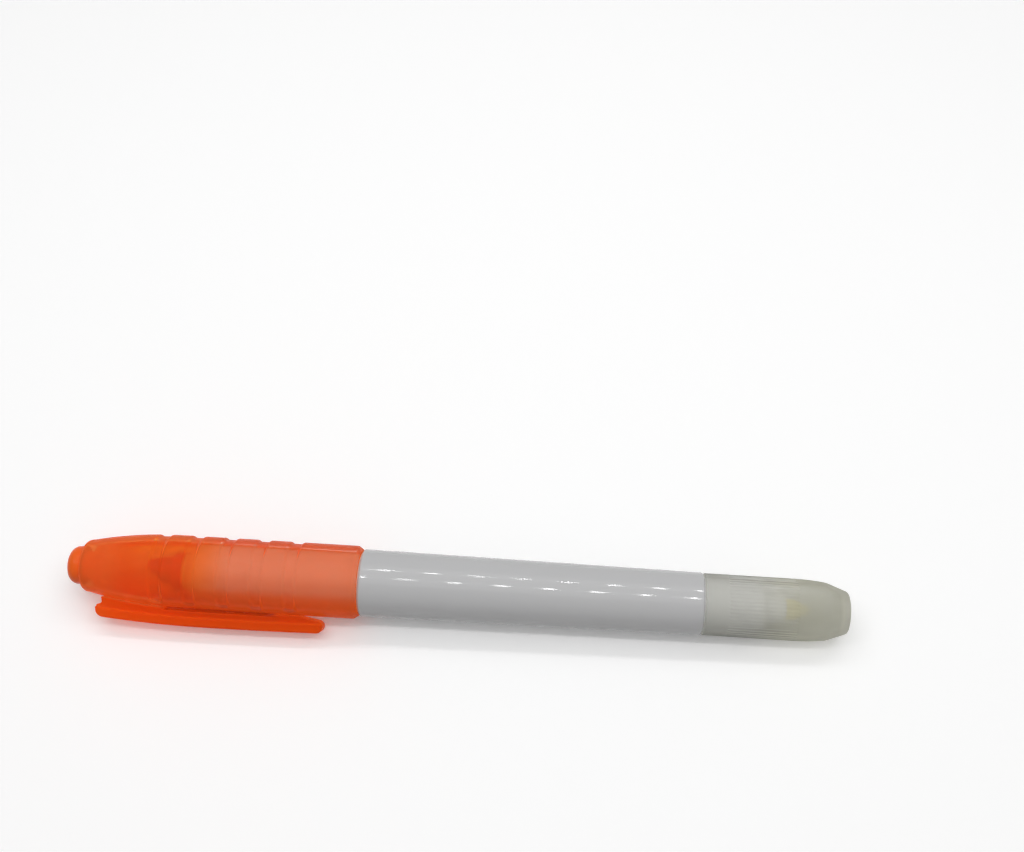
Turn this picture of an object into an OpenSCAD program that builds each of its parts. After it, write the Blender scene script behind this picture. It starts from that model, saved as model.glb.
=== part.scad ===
// Double-ended erasable highlighter with both caps on, lying on its side.
// Its axis runs along X: the coloured cap is at -X and the frosted eraser cap at +X.
// The pocket clip points towards -Y and down, so that the coloured cap and the clip rest on Z = 0.

/* [Barrel] */
// Length of the white barrel between the two caps
barrel_length = 61.1; // [50:0.1:80]
// Barrel diameter at the coloured cap
barrel_d_front = 12.1; // [10:0.1:15]
// Barrel diameter at the eraser cap
barrel_d_rear = 11.2; // [9.4:0.1:14]
// Barrel wall at each end
barrel_wall = 1.15; // [0.9:0.05:1.5]
// Rounding of the barrel's outer end edges
barrel_edge_r = 0.5; // [0.1:0.05:0.8]
// Depth of the ink chamber, from the front end to the divider's stop ring
ink_chamber_len = 33.5; // [25:0.5:38]
// Height of the ring that stops the divider
stop_ring_h = 0.35; // [0.2:0.05:0.6]
// Width of that ring
stop_ring_w = 0.8; // [0.5:0.1:1.5]
// Number of ribs that centre each reservoir in the barrel
rib_count = 4; // [3:1:6]
// Thickness of those ribs
rib_t = 0.8; // [0.5:0.1:1.2]

/* [Coloured cap] */
// Length of the coloured cap with its end plug
cap_length = 53.05; // [44:0.05:64]
// Wall of the coloured cap
cap_wall = 1.18; // [1:0.02:1.6]
// Growth of the cap's radius from its nose to its mouth
cap_draft = 0.04; // [0.02:0.01:0.1]
// Distance from the plug's tip to the end of the cap's curved nose
nose_length = 20; // [16:0.5:24]
// Radius of the nose where its end rounding starts
nose_end_r = 4.75; // [4.2:0.05:5.2]
// Length of the end rounding
nose_round_len = 1.2; // [1:0.1:2]
// Radial height of the end rounding
nose_round_h = 0.8; // [0.4:0.1:1]
// Thickness of the cap's end wall, which holds the plug
cap_end_wall = 2.2; // [1.4:0.1:3]
// Length of the bevel at the mouth
mouth_bevel_len = 0.9; // [0.4:0.1:1.4]
// Radial height of that bevel
mouth_bevel_h = 0.55; // [0.2:0.05:0.7]
// Number of finger grooves
groove_count = 5; // [3:1:6]
// Width of a groove
groove_w = 2; // [1.2:0.1:2.6]
// Depth of a groove
groove_depth = 0.35; // [0.15:0.05:0.5]
// Distance from groove to groove
groove_pitch = 6; // [4:0.1:7]
// Distance from the mouth to the nearest groove
groove_setback = 10.9; // [6:0.1:14]
// Angle from the clip to the middle of a groove's rounded end
groove_end_angle = 38; // [28:1:60]

/* [End plug] */
// Radius of the plug's button
plug_r = 3.45; // [2.8:0.05:3.8]
// Length of the button
plug_len = 2.8; // [1.7:0.1:3.2]
// Edge rounding of the button
plug_edge_r = 1.7; // [0.5:0.1:1.7]
// Radius of the stem pressed into the cap
plug_stem_r = 2.6; // [1.6:0.1:2.7]

/* [Pocket clip] */
// Height of the clip's back over the cap
clip_rise = 3.2; // [2.8:0.05:4.2]
// Width of the clip's back
clip_back_w = 4; // [3:0.1:5]
// Thickness of the clip's back
clip_back_t = 1.5; // [1.2:0.05:1.8]
// Width of the web under the back
clip_web_w = 2.8; // [1.6:0.1:3]
// Distance from the plug's tip to the clip's hook
clip_hook_s = 5.6; // [4.6:0.1:6.4]
// Rounding of the hook
clip_hook_r = 1.4; // [0.8:0.1:1.6]
// Depth of the notch under the hook
clip_notch_len = 0.8; // [0.6:0.1:2]
// Height of that notch
clip_notch_h = 1.4; // [1:0.05:1.6]
// Length of web that is joined to the cap
clip_root_len = 11.2; // [6:0.1:14]
// Distance from the hook to the clip's highest point
clip_crest_len = 19; // [14:0.1:24]
// Fall of the back from its highest point to the hook
clip_hook_drop = 0.9; // [0.4:0.05:1.1]
// Fall of the back from its highest point to the foot
clip_foot_drop = 0.28; // [0:0.02:0.6]
// Distance from the cap's mouth to the clip's foot
clip_setback = 6.3; // [4:0.1:9]
// Slit between the clip and the cap
clip_slit = 0.5; // [0.45:0.05:1]
// Slit under the gripping bump
clip_bump_slit = 0.25; // [0.2:0.05:0.4]
// Length of the gripping bump
clip_bump_len = 3.4; // [2:0.1:5]
// Length of the flared foot beyond the bump
clip_foot_len = 4.8; // [3:0.1:6]
// Rounding of the foot
clip_foot_r = 1.1; // [0.8:0.05:1.15]

/* [Highlighter end] */
// Length of the nib section that the cap covers, without its neck
hl_body_len = 29.3; // [24:0.1:35.2]
// Length of the section's shoulder
hl_shoulder_len = 1.9; // [1:0.1:3]
// Radius of the neck
hl_neck_r = 3.4; // [3.2:0.05:3.8]
// Length of the neck
hl_neck_len = 2.9; // [1.5:0.1:4]
// Length of nib in the open
hl_nib_out = 4.5; // [3.5:0.1:6]
// Half the width of the chisel nib
hl_nib_r = 2.6; // [2:0.05:2.7]
// Thickness of the chisel nib
hl_nib_t = 3.6; // [2.6:0.1:4.2]
// Thickness of the chisel's edge
hl_nib_edge_t = 1.3; // [0.8:0.1:2]
// Slant of the chisel's tip
hl_nib_slant = 25; // [10:1:35]

/* [Eraser end] */
// Length of the nib section that the eraser cap covers, without its neck
er_body_len = 10; // [8:0.1:12]
// Length of the section's shoulder
er_shoulder_len = 1.2; // [0.6:0.1:2]
// Radius of the neck
er_neck_r = 2.75; // [2.5:0.05:3.2]
// Length of the neck
er_neck_len = 3.5; // [2:0.1:4.5]
// Length of nib in the open
er_nib_out = 4.3; // [3.4:0.1:5.5]
// Radius of the eraser nib
er_nib_r = 1.9; // [1.5:0.05:2.2]
// Radius of the rounded tip
er_nib_tip_r = 1; // [0.5:0.05:1.3]

/* [Eraser cap] */
// Length of the eraser cap
er_cap_length = 25.55; // [23:0.05:31]
// How far the eraser cap's surface lies below the barrel's
er_cap_step = 0.1; // [0:0.01:0.15]
// Distance from the mouth to the bowed end
er_cap_bow_start = 16.5; // [12:0.1:18]
// Fall of the radius over the bowed end
er_cap_bow_drop = 0.42; // [0.1:0.02:0.6]
// Length of the cone beyond the bow
er_cap_cone_len = 3.6; // [2:0.1:5]
// Radius at the small end of the cone
er_cap_end_r = 3.85; // [3.6:0.05:4.6]
// Rounding of the closed end
er_cap_end_round = 0.5; // [0.3:0.1:1.2]
// Thickness of the end wall
er_cap_end_wall = 1; // [0.7:0.1:1.5]
// Rounding of the mouth's outer edge
er_cap_mouth_r = 0.2; // [0.1:0.05:0.3]
// Number of fine flutes
flute_count = 50; // [36:2:72]
// Depth of a flute
flute_depth = 0.09; // [0.06:0.01:0.2]
// Distance from the mouth to the flutes
flute_start = 4; // [2:0.1:6]
// Length of the flutes
flute_len = 12.4; // [8:0.1:14]

/* [Shared by both ends] */
// Step from a section's spigot to its body, which seats on the barrel
section_step = 0.3; // [0.2:0.05:0.4]
// Wall of a section round its reservoir
section_wall = 0.85; // [0.7:0.05:1.2]
// Length of the spigot pressed into the barrel
spigot_len = 8; // [5:0.1:10]
// Height of the sealing and holding rings on a section
ring_h = 0.12; // [0.05:0.01:0.2]
// Width of such a ring
ring_w = 1.4; // [0.8:0.1:2]
// Draft of a section's body, on the radius
section_draft = 0.1; // [0:0.02:0.2]
// Wall between a section's reservoir space and its shoulder
section_end_wall = 2.5; // [1.5:0.1:4]
// Depth of a nib's tail in its reservoir
nib_tail_len = 7; // [4:0.1:10]
// Thickness of the film round a reservoir
film_t = 0.12; // [0.08:0.01:0.2]
// Thickness of the divider's disc
divider_t = 1.4; // [1:0.1:2]
// Length of the divider's skirt
divider_skirt_len = 3; // [1.5:0.1:5]
// Wall of the divider's skirt
divider_skirt_wall = 0.65; // [0.4:0.05:0.8]

/* [Clearances] */
// Radial clearance of a cap on the rings of its section
cap_fit = 0.06; // [0.03:0.01:0.15]
// Gap between a cap's mouth and the barrel
mouth_gap = 0.15; // [0.08:0.01:0.3]
// Radial clearance of pieces that are pressed together
press_fit = 0.02; // [0.01:0.01:0.05]
// Radial clearance of a reservoir in its section and ribs
reservoir_fit = 0.1; // [0.05:0.01:0.2]

/* [Hidden] */
$fn = 64;

// Colours
orange_plastic = "#f0641e";
orange_felt = "#e8430f";
white_plastic = "#e9eaec";
natural_plastic = "#f4f4f0";
frosted_plastic = "#cfd2c6";
cream_felt = "#e8dca8";
fibre_white = "#f7f5ee";
fibre_orange = "#ff7a33";
clear_film = "#eef2f5";

// Steps of an arc, and the overlap that joins solids and carries cuts past a surface
arc_steps = 8;
nose_steps = 14;
bow_steps = 10;
join = 0.4;
past = 2;
// Step that keeps two cuts from touching along a tangent
cut_step = 0.03;

// Places along the axis, measured from the plug's tip towards the eraser end
barrel_s0 = cap_length + mouth_gap;
barrel_s1 = barrel_s0 + barrel_length;
er_cap_s0 = barrel_s1 + mouth_gap;
overall_length = er_cap_s0 + er_cap_length;
stop_s = barrel_s0 + ink_chamber_len;
nose_s = plug_len + nose_round_len;

// Radii, each from the piece that it fits
front_r = barrel_d_front / 2;
rear_r = barrel_d_rear / 2;
front_bore_r = front_r - barrel_wall;
rear_bore_r = rear_r - barrel_wall;
stop_ring_r = min(front_bore_r, rear_bore_r) - stop_ring_h;
hl_body_r = front_bore_r + section_step;
er_body_r = rear_bore_r + section_step;
hl_spigot_r = front_bore_r - press_fit;
er_spigot_r = rear_bore_r - press_fit;
hl_hollow_r = hl_spigot_r - section_wall;
er_hollow_r = er_spigot_r - section_wall;
ink_film_r = hl_hollow_r - reservoir_fit;
er_film_r = er_hollow_r - reservoir_fit;
cap_bore_r = hl_body_r + ring_h + cap_fit;
cap_r = cap_bore_r + cap_wall;
er_cap_bore_r = er_body_r + ring_h + cap_fit;
er_cap_r = rear_r - er_cap_step;
er_cap_wall = er_cap_r - er_cap_bore_r;
nose_r = cap_r - cap_draft;

// Heights on each section, from the barrel's end outwards
hl_hollow_len = hl_body_len - section_end_wall;
er_hollow_len = er_body_len - section_end_wall;
hl_neck_z = hl_body_len + hl_shoulder_len + hl_neck_len;
er_neck_z = er_body_len + er_shoulder_len + er_neck_len;
hl_tail_z = hl_hollow_len - nib_tail_len;
er_tail_z = er_hollow_len - nib_tail_len;

// The reservoirs run from their section's inner end to the divider
ink_front_s = barrel_s0 - hl_hollow_len + press_fit;
ink_rear_s = stop_s - divider_t - press_fit;
er_front_s = stop_s + stop_ring_w + press_fit;
er_rear_s = barrel_s1 + er_hollow_len - press_fit;

// The clip lies on the table beside the cap: its roll below the horizontal follows from both
clip_crest_r = cap_r + clip_rise;
clip_half_angle = asin(clip_back_w / 2 / clip_crest_r);
clip_roll = asin(cap_r / clip_crest_r) - clip_half_angle;
clip_foot_s = cap_length - clip_setback;
clip_crest_s = clip_hook_s + clip_crest_len;
clip_web_s = clip_hook_s + clip_notch_len;
clip_slit_s = clip_web_s + clip_root_len;
clip_bump_s1 = clip_foot_s - clip_foot_len;
clip_bump_s0 = clip_bump_s1 - clip_bump_len;

// The origin is below the middle of the box round the whole object
axis_z = cap_r;
axis_y = (clip_crest_r * cos(clip_roll - clip_half_angle) - cap_r) / 2;

function arc(centre, r, from, to) =
    [for (i = [0:arc_steps])
        let (a = from + (to - from) * i / arc_steps)
        centre + [r[0] * cos(a), r[1] * sin(a)]];

// Outer radius of the coloured cap: a parabola over its nose, then nearly straight to the mouth
function cap_outer(s) = s >= nose_length
    ? cap_r - cap_draft * pow((cap_length - s) / (cap_length - nose_length), 2)
    : nose_r - (nose_r - nose_end_r) * pow((nose_length - s) / (nose_length - nose_s), 2);

// Outer radius of the clip's bowed back
function clip_back(s) = clip_crest_r - (s < clip_crest_s
    ? clip_hook_drop * pow((clip_crest_s - s) / clip_crest_len, 2)
    : clip_foot_drop * pow((s - clip_crest_s) / (clip_foot_s - clip_crest_s), 2));

function steps(from, to, n) = [for (i = [0:n]) from + (to - from) * i / n];

// Lays a piece that is modelled upright, with z along the axis, on its side
module lying() translate([-overall_length / 2, axis_y, axis_z]) rotate([0, 90, 0]) children();

// The same for the two ends of the barrel, with z pointing out of that end
module at_front() lying() translate([0, 0, barrel_s0]) mirror([0, 0, 1]) children();
module at_rear() lying() translate([0, 0, barrel_s1]) children();

module turned(points) rotate_extrude() polygon(points);

// Tube between two radii and two heights
module tube(r_in, r_out, z0, z1) turned([[r_in, z0], [r_out, z0], [r_out, z1], [r_in, z1]]);

// Slab along the clip, between two distances from its middle plane
module slab(y0, y1) translate([0, y0, -past])
    cube([clip_crest_r + past, y1 - y0, clip_foot_s + 2 * past]);

// Ribs inside the barrel, between two places, that reach from the wall to a reservoir
module ribs(r_in, r_out, s0, s1)
    for (i = [0:rib_count - 1])
        rotate([0, 0, 360 * i / rib_count])
            translate([r_in, -rib_t / 2, s0]) cube([r_out + join - r_in, rib_t, s1 - s0]);

module barrel() color(white_plastic) lying() {
    e = [barrel_edge_r, barrel_edge_r];
    turned(concat(
        [[front_bore_r, barrel_s0]],
        arc([front_r - e[0], barrel_s0 + e[0]], e, -90, 0),
        arc([rear_r - e[0], barrel_s1 - e[0]], e, 0, 90),
        [[rear_bore_r, barrel_s1], [rear_bore_r, stop_s + stop_ring_w],
         [stop_ring_r, stop_s + stop_ring_w], [stop_ring_r, stop_s], [front_bore_r, stop_s]]));
    ribs(ink_film_r + reservoir_fit, front_bore_r,
        barrel_s0 + spigot_len + past, stop_s - divider_t - divider_skirt_len - past);
    ribs(er_film_r + reservoir_fit, rear_bore_r,
        stop_s + stop_ring_w - join / 2, barrel_s1 - spigot_len - past);
}

module divider() color(natural_plastic) lying() {
    r = front_bore_r - press_fit;
    disc_s = stop_s - divider_t;
    turned([[0, disc_s], [r - divider_skirt_wall, disc_s],
        [r - divider_skirt_wall, disc_s - divider_skirt_len],
        [r, disc_s - divider_skirt_len], [r, stop_s], [0, stop_s]]);
}

// Nib holder, with its spigot below z = 0 and its neck at the top; children are cut out for the nib
module nib_section(body_r, spigot_r, hollow_r, body_len, shoulder_len, neck_r, neck_len) {
    ring_slope = ring_h * 2;
    spigot_lead = 0.6;
    neck_edge = 0.4;
    front_r = body_r - section_draft;
    shoulder_z = body_len + shoulder_len;
    neck_z = shoulder_z + neck_len;
    hollow_z = body_len - section_end_wall;
    seal_z = body_len - ring_w - past;
    function ring(z, r) = [[r, z - ring_slope], [r + ring_h, z], [r + ring_h, z + ring_w],
        [r, z + ring_w + ring_slope]];
    difference() {
        turned(concat(
            [[hollow_r, -spigot_len], [spigot_r - spigot_lead / 2, -spigot_len],
             [spigot_r, spigot_lead - spigot_len], [spigot_r, 0], [body_r, 0]],
            ring(past, body_r),
            ring(seal_z, front_r),
            arc([neck_r, body_len], [front_r - neck_r, shoulder_len], 0, 90),
            arc([neck_r - neck_edge, neck_z - neck_edge], [neck_edge, neck_edge], 0, 90),
            [[0, neck_z], [0, hollow_z], [hollow_r, hollow_z]]));
        children();
    }
}

// Cross-section of the chisel nib: a round bar with two flats
module chisel_bar(r, thickness, z0, z1) intersection() {
    translate([0, 0, z0]) cylinder(r = r, h = z1 - z0);
    translate([-r - past, -thickness / 2, z0 - past])
        cube([2 * (r + past), thickness, z1 - z0 + 2 * past]);
}

module highlighter_section() color(natural_plastic) at_front()
    nib_section(hl_body_r, hl_spigot_r, hl_hollow_r, hl_body_len, hl_shoulder_len, hl_neck_r,
        hl_neck_len)
        chisel_bar(hl_nib_r + press_fit, hl_nib_t + 2 * press_fit, hl_hollow_len - past,
            hl_neck_z + past);

module highlighter_nib() color(orange_felt) at_front() {
    tip_z = hl_neck_z + hl_nib_out;
    bevel_share = 0.6;
    corner_x = -hl_nib_r * 0.75;
    bevel_len = hl_nib_out * bevel_share;
    bevel_angle = atan((hl_nib_t - hl_nib_edge_t) / 2 / bevel_len);
    difference() {
        chisel_bar(hl_nib_r, hl_nib_t, hl_tail_z, tip_z);
        for (side = [0, 180])
            rotate([0, 0, side]) translate([-hl_nib_r - past, hl_nib_edge_t / 2, tip_z])
                rotate([bevel_angle, 0, 0]) translate([0, 0, -hl_nib_out])
                    cube([2 * (hl_nib_r + past), hl_nib_t, hl_nib_out + past]);
        translate([corner_x, -hl_nib_t, tip_z]) rotate([0, hl_nib_slant, 0])
            translate([-past, 0, 0]) cube([past + 3 * hl_nib_r, 2 * hl_nib_t, hl_nib_out]);
    }
}

module eraser_section() color(natural_plastic) at_rear()
    nib_section(er_body_r, er_spigot_r, er_hollow_r, er_body_len, er_shoulder_len, er_neck_r,
        er_neck_len)
        translate([0, 0, er_hollow_len - past])
            cylinder(r = er_nib_r + press_fit, h = er_neck_z - er_hollow_len + 2 * past);

module eraser_nib() color(cream_felt) at_rear() {
    tip_z = er_neck_z + er_nib_out;
    tail_lead = 0.5;
    straight_share = 0.35;
    turned(concat(
        [[0, er_tail_z], [er_nib_r - tail_lead, er_tail_z], [er_nib_r, er_tail_z + 2 * tail_lead],
         [er_nib_r, er_neck_z + er_nib_out * straight_share]],
        arc([0, tip_z - er_nib_tip_r], [er_nib_tip_r, er_nib_tip_r], 20, 90)));
}

// Fibre core of a reservoir; children are cut out for the nib's tail
module core(film_r, s0, s1) difference() {
    translate([0, 0, s0]) cylinder(r = film_r - film_t - press_fit, h = s1 - s0);
    children();
}

module ink_reservoir() color(fibre_orange) lying()
    core(ink_film_r, ink_front_s, ink_rear_s)
        chisel_bar(hl_nib_r + press_fit, hl_nib_t + 2 * press_fit, ink_front_s - past,
            barrel_s0 - hl_tail_z + press_fit);

module ink_reservoir_film() color(clear_film) lying()
    tube(ink_film_r - film_t, ink_film_r, ink_front_s, ink_rear_s);

module eraser_reservoir() color(fibre_white) lying()
    core(er_film_r, er_front_s, er_rear_s)
        translate([0, 0, barrel_s1 + er_tail_z - press_fit])
            cylinder(r = er_nib_r + press_fit, h = nib_tail_len + past);

module eraser_reservoir_film() color(clear_film) lying()
    tube(er_film_r - film_t, er_film_r, er_front_s, er_rear_s);

// Cut for one finger groove, which stops in a rounded end on each side of the clip
module groove(s) {
    floor_r = cap_outer(s + groove_w / 2) - groove_depth;
    end_r = groove_w / 2 - cut_step;
    rotate([0, 0, groove_end_angle]) rotate_extrude(angle = 360 - 2 * groove_end_angle)
        translate([floor_r, s]) square([groove_depth + past, groove_w]);
    for (side = [-1, 1]) intersection() {
        tube(floor_r, cap_r + past, s - past, s + groove_w + past);
        rotate([0, 0, side * groove_end_angle]) translate([0, 0, s + groove_w / 2])
            rotate([0, 90, 0]) cylinder(r = end_r, h = cap_r + past);
    }
}

// Side view of the clip, from the notch along the cap, the slit, the bump, the foot and the back
module clip_outline() {
    slit_r = cap_r + clip_slit;
    bump_r = cap_r + clip_bump_slit;
    bump_ramp = 1;
    half_slit = clip_slit / 2;
    half_notch = clip_notch_h / 2;
    notch_r = cap_outer(clip_web_s);
    hook_s = clip_hook_s + clip_hook_r;
    foot_s = clip_foot_s - clip_foot_r;
    polygon(concat(
        [for (s = steps(clip_web_s, clip_slit_s, bow_steps)) [cap_outer(s) - join, s]],
        arc([cap_r + half_slit, clip_slit_s + half_slit], [half_slit, half_slit], 210, 360),
        [[slit_r, clip_bump_s0 - bump_ramp], [bump_r, clip_bump_s0], [bump_r, clip_bump_s1]],
        arc([clip_back(foot_s) - clip_foot_r, foot_s], [clip_foot_r, clip_foot_r], 165, 10),
        [for (s = steps(foot_s, hook_s, bow_steps)) [clip_back(s), s]],
        arc([clip_back(hook_s) - clip_hook_r, hook_s], [clip_hook_r, clip_hook_r], -10, -90),
        [[notch_r + clip_notch_h, clip_hook_s]],
        arc([notch_r + half_notch, clip_web_s - half_notch], [half_notch, half_notch], 0, 150)));
}

// What lies under the clip's back
module under_back_outline() {
    s0 = clip_hook_s - past;
    s1 = clip_foot_s + past;
    polygon(concat(
        [[0, s1], [0, s0]],
        [for (s = steps(s0, s1, 2 * bow_steps)) [clip_back(s) - clip_back_t, s]]));
}

// The clip has a T section: under its back, both sides are cut away down to the web
module pocket_clip() difference() {
    intersection() {
        rotate_extrude() clip_outline();
        slab(-clip_back_w / 2, clip_back_w / 2);
    }
    for (side = [0, 1]) mirror([0, side, 0]) intersection() {
        rotate_extrude() under_back_outline();
        slab(clip_web_w / 2, clip_back_w);
    }
}

module cap_shell() {
    inner_s = plug_len + cap_end_wall;
    nose_wall = nose_r - cap_bore_r;
    groove_places = [for (i = [groove_count - 1:-1:0])
        cap_length - groove_setback - groove_w - i * groove_pitch];
    land_edges = [for (s = groove_places) if (s > nose_length) s + groove_w / 2];
    difference() {
        turned(concat(
            arc([nose_end_r - nose_round_h, nose_s], [nose_round_h, nose_round_len], -90, 0),
            [for (s = steps(nose_s, nose_length, nose_steps)) if (s > nose_s) [cap_outer(s), s]],
            [for (s = land_edges) [cap_outer(s), s]],
            [[cap_r, cap_length - mouth_bevel_len], [cap_r - mouth_bevel_h, cap_length],
             [cap_bore_r, cap_length]],
            [for (s = steps(nose_length, inner_s, nose_steps)) [cap_outer(s) - nose_wall, s]],
            [[plug_stem_r + press_fit, inner_s], [plug_stem_r + press_fit, plug_len]]));
        for (s = groove_places) groove(s);
    }
}

module highlighter_cap() color(orange_plastic) lying() rotate([0, 0, clip_roll - 90]) {
    cap_shell();
    pocket_clip();
}

module cap_end_plug() color(orange_plastic) lying() turned(concat(
    [[0, 0]],
    arc([plug_r - plug_edge_r, plug_edge_r], [plug_edge_r, plug_edge_r], -90, 0),
    [[plug_r, plug_len], [plug_stem_r, plug_len], [plug_stem_r, plug_len + cap_end_wall],
     [0, plug_len + cap_end_wall]]));

// Everything outside the fluted section of the eraser cap, which is cut away over the flutes' length
module flute_cut() {
    ridge_r = er_cap_r - cut_step;
    difference() {
        tube(er_cap_bore_r, er_cap_r + past, flute_start, flute_start + flute_len);
        translate([0, 0, flute_start - past]) linear_extrude(flute_len + 2 * past)
            polygon([for (i = [0:2 * flute_count - 1])
                let (a = 180 * i / flute_count, r = ridge_r - (i % 2) * flute_depth)
                [r * cos(a), r * sin(a)]]);
    }
}

module eraser_cap() color(frosted_plastic) lying() translate([0, 0, er_cap_s0]) {
    m = er_cap_mouth_r;
    rim = er_cap_end_round;
    cone_z = er_cap_length - er_cap_cone_len;
    end_z = er_cap_length - er_cap_end_wall;
    bow = [for (z = steps(er_cap_bow_start, cone_z, arc_steps))
        [er_cap_r - er_cap_bow_drop * pow((z - er_cap_bow_start) / (cone_z - er_cap_bow_start), 2), z]];
    difference() {
        turned(concat(
            [[er_cap_bore_r, 0]],
            arc([er_cap_r - m, m], [m, m], -90, 0),
            bow,
            arc([er_cap_end_r - rim, er_cap_length - rim], [rim, rim], 16, 90),
            [[0, er_cap_length], [0, end_z], [er_cap_end_r - er_cap_wall, end_z]],
            [for (i = [arc_steps:-1:0]) bow[i] - [er_cap_wall, 0]]));
        flute_cut();
    }
}

barrel();
divider();
highlighter_section();
highlighter_nib();
ink_reservoir();
ink_reservoir_film();
eraser_section();
eraser_nib();
eraser_reservoir();
eraser_reservoir_film();
highlighter_cap();
cap_end_plug();
eraser_cap();
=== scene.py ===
"""A double-ended erasable highlighter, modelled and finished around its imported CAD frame."""

import math

import bmesh
import bpy
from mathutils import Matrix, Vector


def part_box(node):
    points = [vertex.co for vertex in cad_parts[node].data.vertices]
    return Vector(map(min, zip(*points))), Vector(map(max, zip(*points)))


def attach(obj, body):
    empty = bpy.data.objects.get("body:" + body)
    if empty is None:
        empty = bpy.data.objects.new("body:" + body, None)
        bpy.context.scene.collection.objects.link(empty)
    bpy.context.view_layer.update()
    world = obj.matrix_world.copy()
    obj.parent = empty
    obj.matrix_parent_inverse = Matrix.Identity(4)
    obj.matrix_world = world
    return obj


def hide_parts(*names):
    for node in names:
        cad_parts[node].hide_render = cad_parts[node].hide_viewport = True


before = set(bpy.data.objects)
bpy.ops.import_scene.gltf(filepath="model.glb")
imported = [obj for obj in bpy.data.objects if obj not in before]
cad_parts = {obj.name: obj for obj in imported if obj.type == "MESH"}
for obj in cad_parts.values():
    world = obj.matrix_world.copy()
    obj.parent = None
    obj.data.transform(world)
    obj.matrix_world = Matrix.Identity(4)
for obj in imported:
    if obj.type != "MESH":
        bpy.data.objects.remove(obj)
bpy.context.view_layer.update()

bl_info = {
    "name": "Erasable Highlighter",
    "version": (1, 0, 0),
    "blender": (4, 5, 0),
    "location": "3D View > Sidebar > Highlighter",
    "description": "Models the caps and nibs of a double-ended highlighter and finishes its parts",
    "category": "Add Mesh",
}

MM = 0.001
BARREL_LOW, BARREL_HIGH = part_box("barrel")
AXIS = (BARREL_LOW + BARREL_HIGH) / 2
PLUG_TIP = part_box("cap_end_plug")[0].x
CAP_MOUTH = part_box("highlighter_cap")[1].x
ERASER_MOUTH, ERASER_END = (corner.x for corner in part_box("eraser_cap"))
NOZZLE_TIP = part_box("highlighter_section")[0].x
CHISEL_TIP, CHISEL_TAIL = (corner.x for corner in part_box("highlighter_nib"))
BULLET_TAIL, BULLET_TIP = (corner.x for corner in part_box("eraser_nib"))

# Steps round each turned piece, and the angle up to which edges are shaded smooth
CAP_STEPS = 288
FLUTE_STEPS = 10
CHISEL_STEPS = 96
BULLET_STEPS = 72
SMOOTH_ANGLE = math.radians(38.0)

# Where the coloured cap's look changes: along the pen from the plug's tip,
THICK_END = (7.0 * MM, 13.0 * MM)
PAINTED_LIGHT_START = (14.0 * MM, 24.0 * MM)
SLEEVE_START = (19.0 * MM, 31.0 * MM)
# along the pen from the two ends of the slit under the clip, which gets a painted shade,
SLIT_SHADE_OPENS = (-0.2 * MM, 0.4 * MM)
SLIT_SHADE_CLOSES = (-0.5 * MM, 1.2 * MM)
# by height above the cap's wall,
CLIP_FOOT = (0.1 * MM, 0.4 * MM)
SLIT_SHADE_FLOOR = (0.03 * MM, 0.12 * MM)
SLIT_SHADE_ROOF = (0.5 * MM, 0.7 * MM)
# and by the cosine of the angle from the clip
PAINTED_LIGHT_SIDE = (0.26, 0.79)
# Where the frosted cap's look changes: from its mouth, and from its closed end
FROSTED_TINT = (7.0 * MM, 14.0 * MM)
FROSTED_DENSER = (9.0 * MM, 22.0 * MM)
FROSTED_RIM = (-2.2 * MM, -1.2 * MM)
# Where the ink ends on the chisel nib's holder, from the holder's tip
WET_EDGE = (1.7 * MM, 2.5 * MM)
# How much a see-through wall is seen edge-on when it starts to hide what is behind
ORANGE_LIMB = (0.38, 0.52)
FROSTED_LIMB = (0.3, 0.66)
# Stretch of the fibres along a nib and along a reservoir
NIB_FIBRES = 0.25
CORE_FIBRES = 0.08

# Side of the floor, and the two places along the pen where they touch
FLOOR_SIDE = 6.0
CAP_REST = -0.018
END_REST = 0.06
# Where the floor's glow changes, from its middle
GLOW_CHANGE = (0.2, 0.75)
# Rows of small lamps: name, place across the pen, shift along it in pitches; size of a lamp
DIODE_ROWS = (("front_diodes", -0.040, 0.0), ("rear_diodes", 0.167, 0.4))
DIODE_SIZE = (0.0055, 0.036, 1.0)


def property_maker(kind, scale=None, **fixed):
    """A function that makes a property of one kind from its description and its default."""
    def make(description, default):
        return kind(description=description, default=default * scale if scale else default, **fixed)
    return make


# Lengths are given in millimetres and kept in metres, angles in degrees, colours in linear light
length = property_maker(bpy.props.FloatProperty, MM, min=0.0, soft_max=0.2, precision=5, unit="LENGTH")
angle = property_maker(bpy.props.FloatProperty, math.radians(1.0), subtype="ANGLE")
point = property_maker(bpy.props.FloatVectorProperty, subtype="XYZ", unit="LENGTH")
colour = property_maker(bpy.props.FloatVectorProperty, min=0.0, max=1.0, size=3, subtype="COLOR")
share = property_maker(bpy.props.FloatProperty, min=0.0, max=1.0, subtype="FACTOR")
strength = property_maker(bpy.props.FloatProperty, min=0.0)
count = property_maker(bpy.props.IntProperty, min=1)


def label(key):
    """The name that a property or a group of them gets from its key."""
    return key.replace("_", " ").capitalize()


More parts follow.
